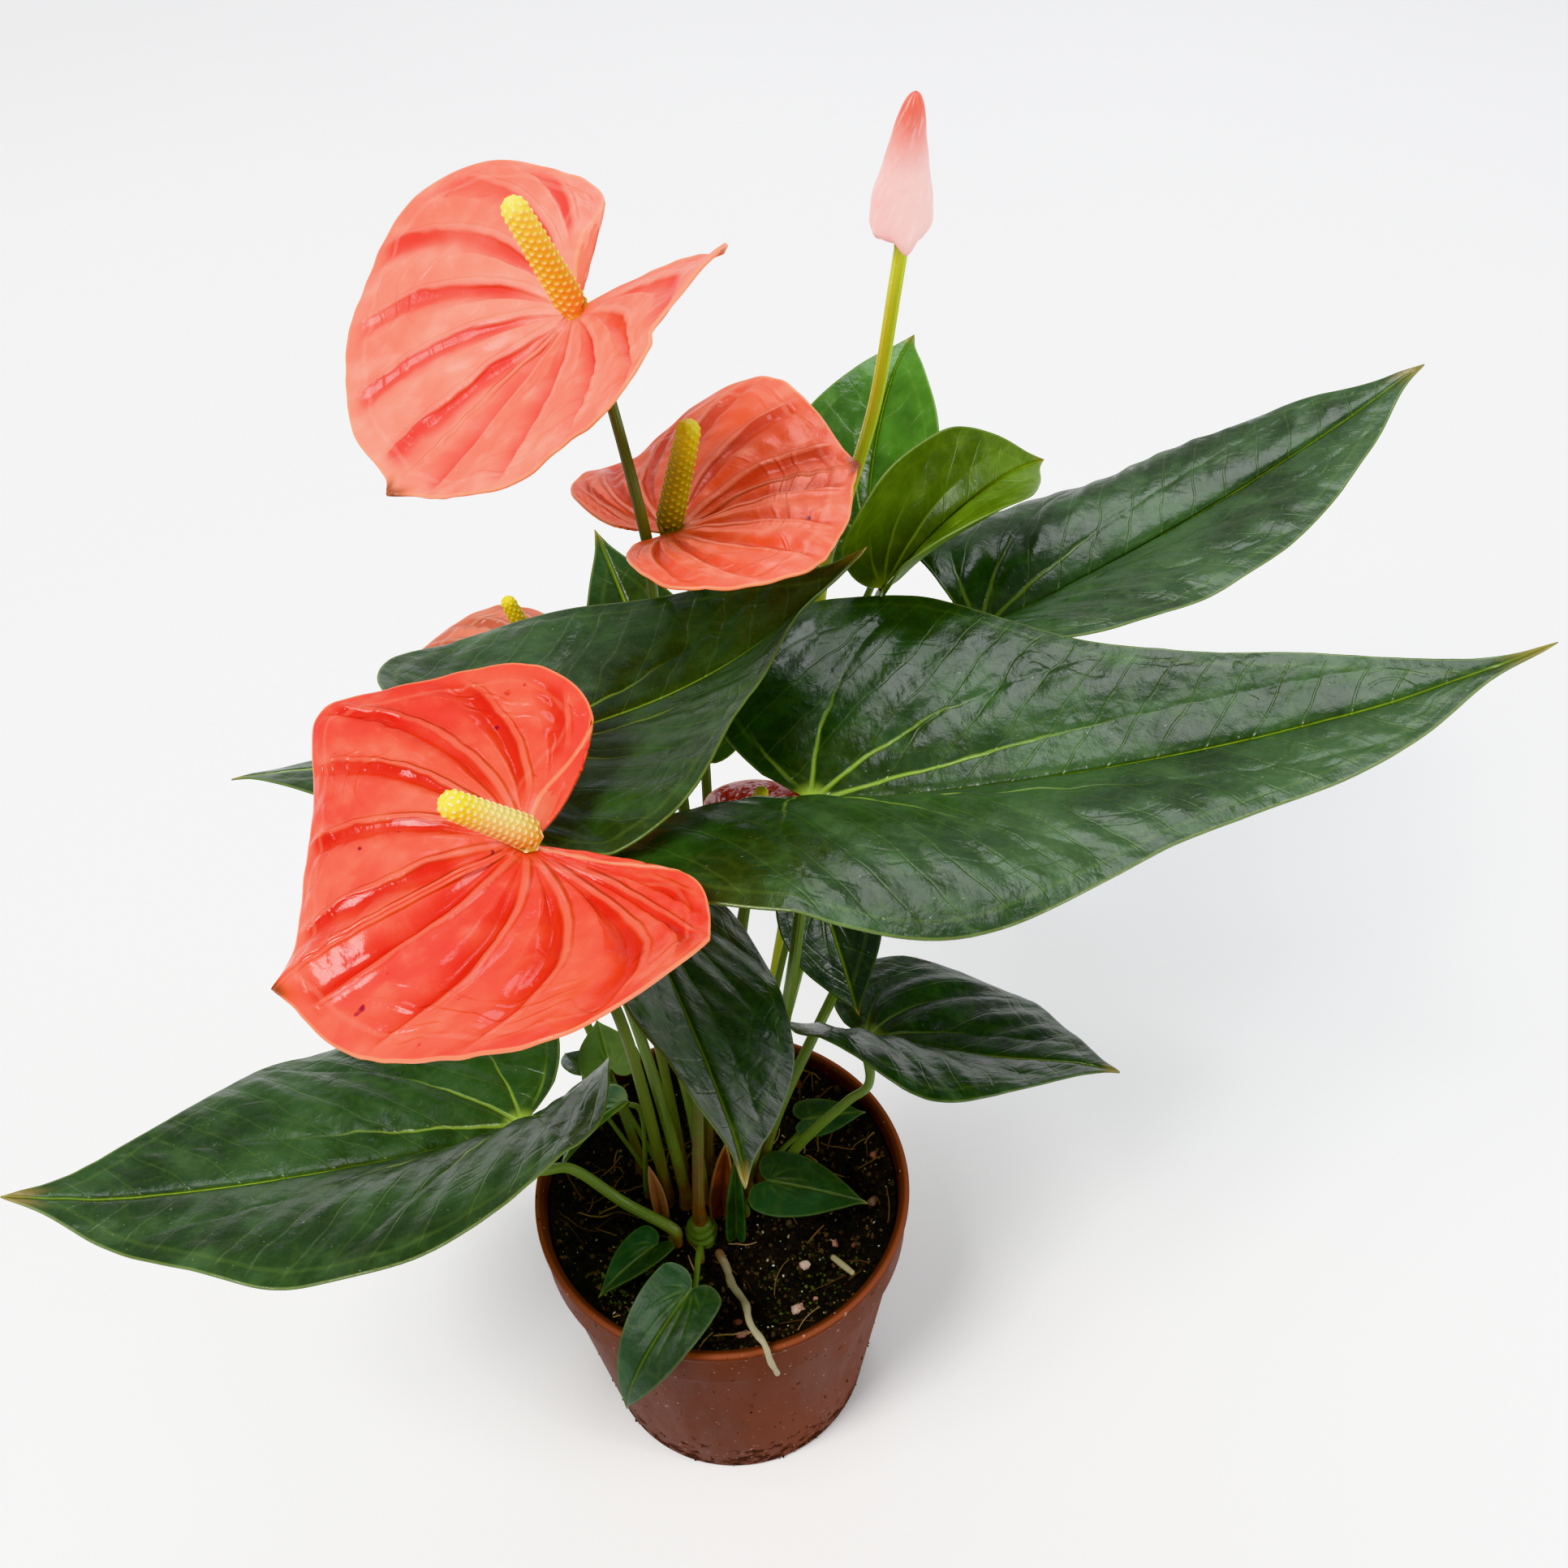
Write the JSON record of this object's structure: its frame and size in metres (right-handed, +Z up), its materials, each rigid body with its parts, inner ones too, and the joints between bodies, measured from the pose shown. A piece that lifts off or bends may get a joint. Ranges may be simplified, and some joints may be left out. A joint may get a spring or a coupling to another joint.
{
  "type": "potted anthurium plant",
  "caption": "Flamingo flower in a round plastic nursery pot: heart-shaped leaves and coral spathes with yellow spikes on long stalks. Decorative live plant.",
  "frame": {"origin": "centre of the pot's underside, on the surface it stands on", "axes": "+Z up, +Y away from the side the plant is seen from, +X to that viewer's right"},
  "size_m": [0.4578, 0.3088, 0.4432],
  "materials": {
    "terracotta_plastic": "satin terracotta-coloured plastic",
    "soil": "moist dark potting mix with pale grit",
    "leaf": "glossy dark green blade with pale veins",
    "young_leaf": "glossy light green blade",
    "spathe": "waxy coral red with sunken veins",
    "spike": "yellow, closely dotted",
    "stalk": "smooth green",
    "bud": "pale pink, waxy",
    "sheath": "dry papery red-brown",
    "root": "dull grey-tan"
  },
  "bodies": {
    "root": {"aerial_root": "root", "crown": "stalk", "flower_bud": "bud", "flower_stalk_back": "stalk", "flower_stalk_bud": "stalk", "flower_stalk_front": "stalk", "flower_stalk_left": "stalk", "flower_stalk_shaded": "stalk", "flower_stalk_top": "stalk", "leaf_back_left": "leaf", "leaf_back_middle": "leaf", "leaf_back_right": "leaf", "leaf_front_right": "leaf", "leaf_hanging": "leaf", "leaf_inner_right": "leaf", "leaf_left": "leaf", "leaf_middle": "leaf", "leaf_right": "leaf", "leaf_upright": "leaf", "leaf_young": "young_leaf", "leaflet_folded": "leaf", "leaflet_grey": "leaf", "leaflet_inner": "leaf", "leaflet_left": "leaf", "leaflet_light": "young_leaf", "leaflet_narrow": "leaf", "leaflet_over_rim": "leaf", "leaflet_right": "leaf", "old_stub": "sheath", "pot": "terracotta_plastic", "sheath_red": "sheath", "sheath_tan": "sheath", "soil": "soil", "spathe_back": "spathe", "spathe_front": "spathe", "spathe_left": "spathe", "spathe_shaded": "spathe", "spathe_top": "spathe", "spike_back": "spike", "spike_front": "spike", "spike_left": "spike", "spike_shaded": "spike", "spike_top": "spike", "stalk_back_left": "stalk", "stalk_back_middle": "stalk", "stalk_back_right": "stalk", "stalk_front_right": "stalk", "stalk_hanging": "stalk", "stalk_inner_right": "stalk", "stalk_leaflet_folded": "stalk", "stalk_leaflet_grey": "stalk", "stalk_leaflet_inner": "stalk", "stalk_leaflet_light": "stalk", "stalk_leaflet_over_rim": "stalk", "stalk_leaflet_right": "stalk", "stalk_left": "stalk", "stalk_middle": "stalk", "stalk_right": "stalk", "stalk_upright": "stalk", "stalk_young": "stalk"}
  },
  "joints": []
}
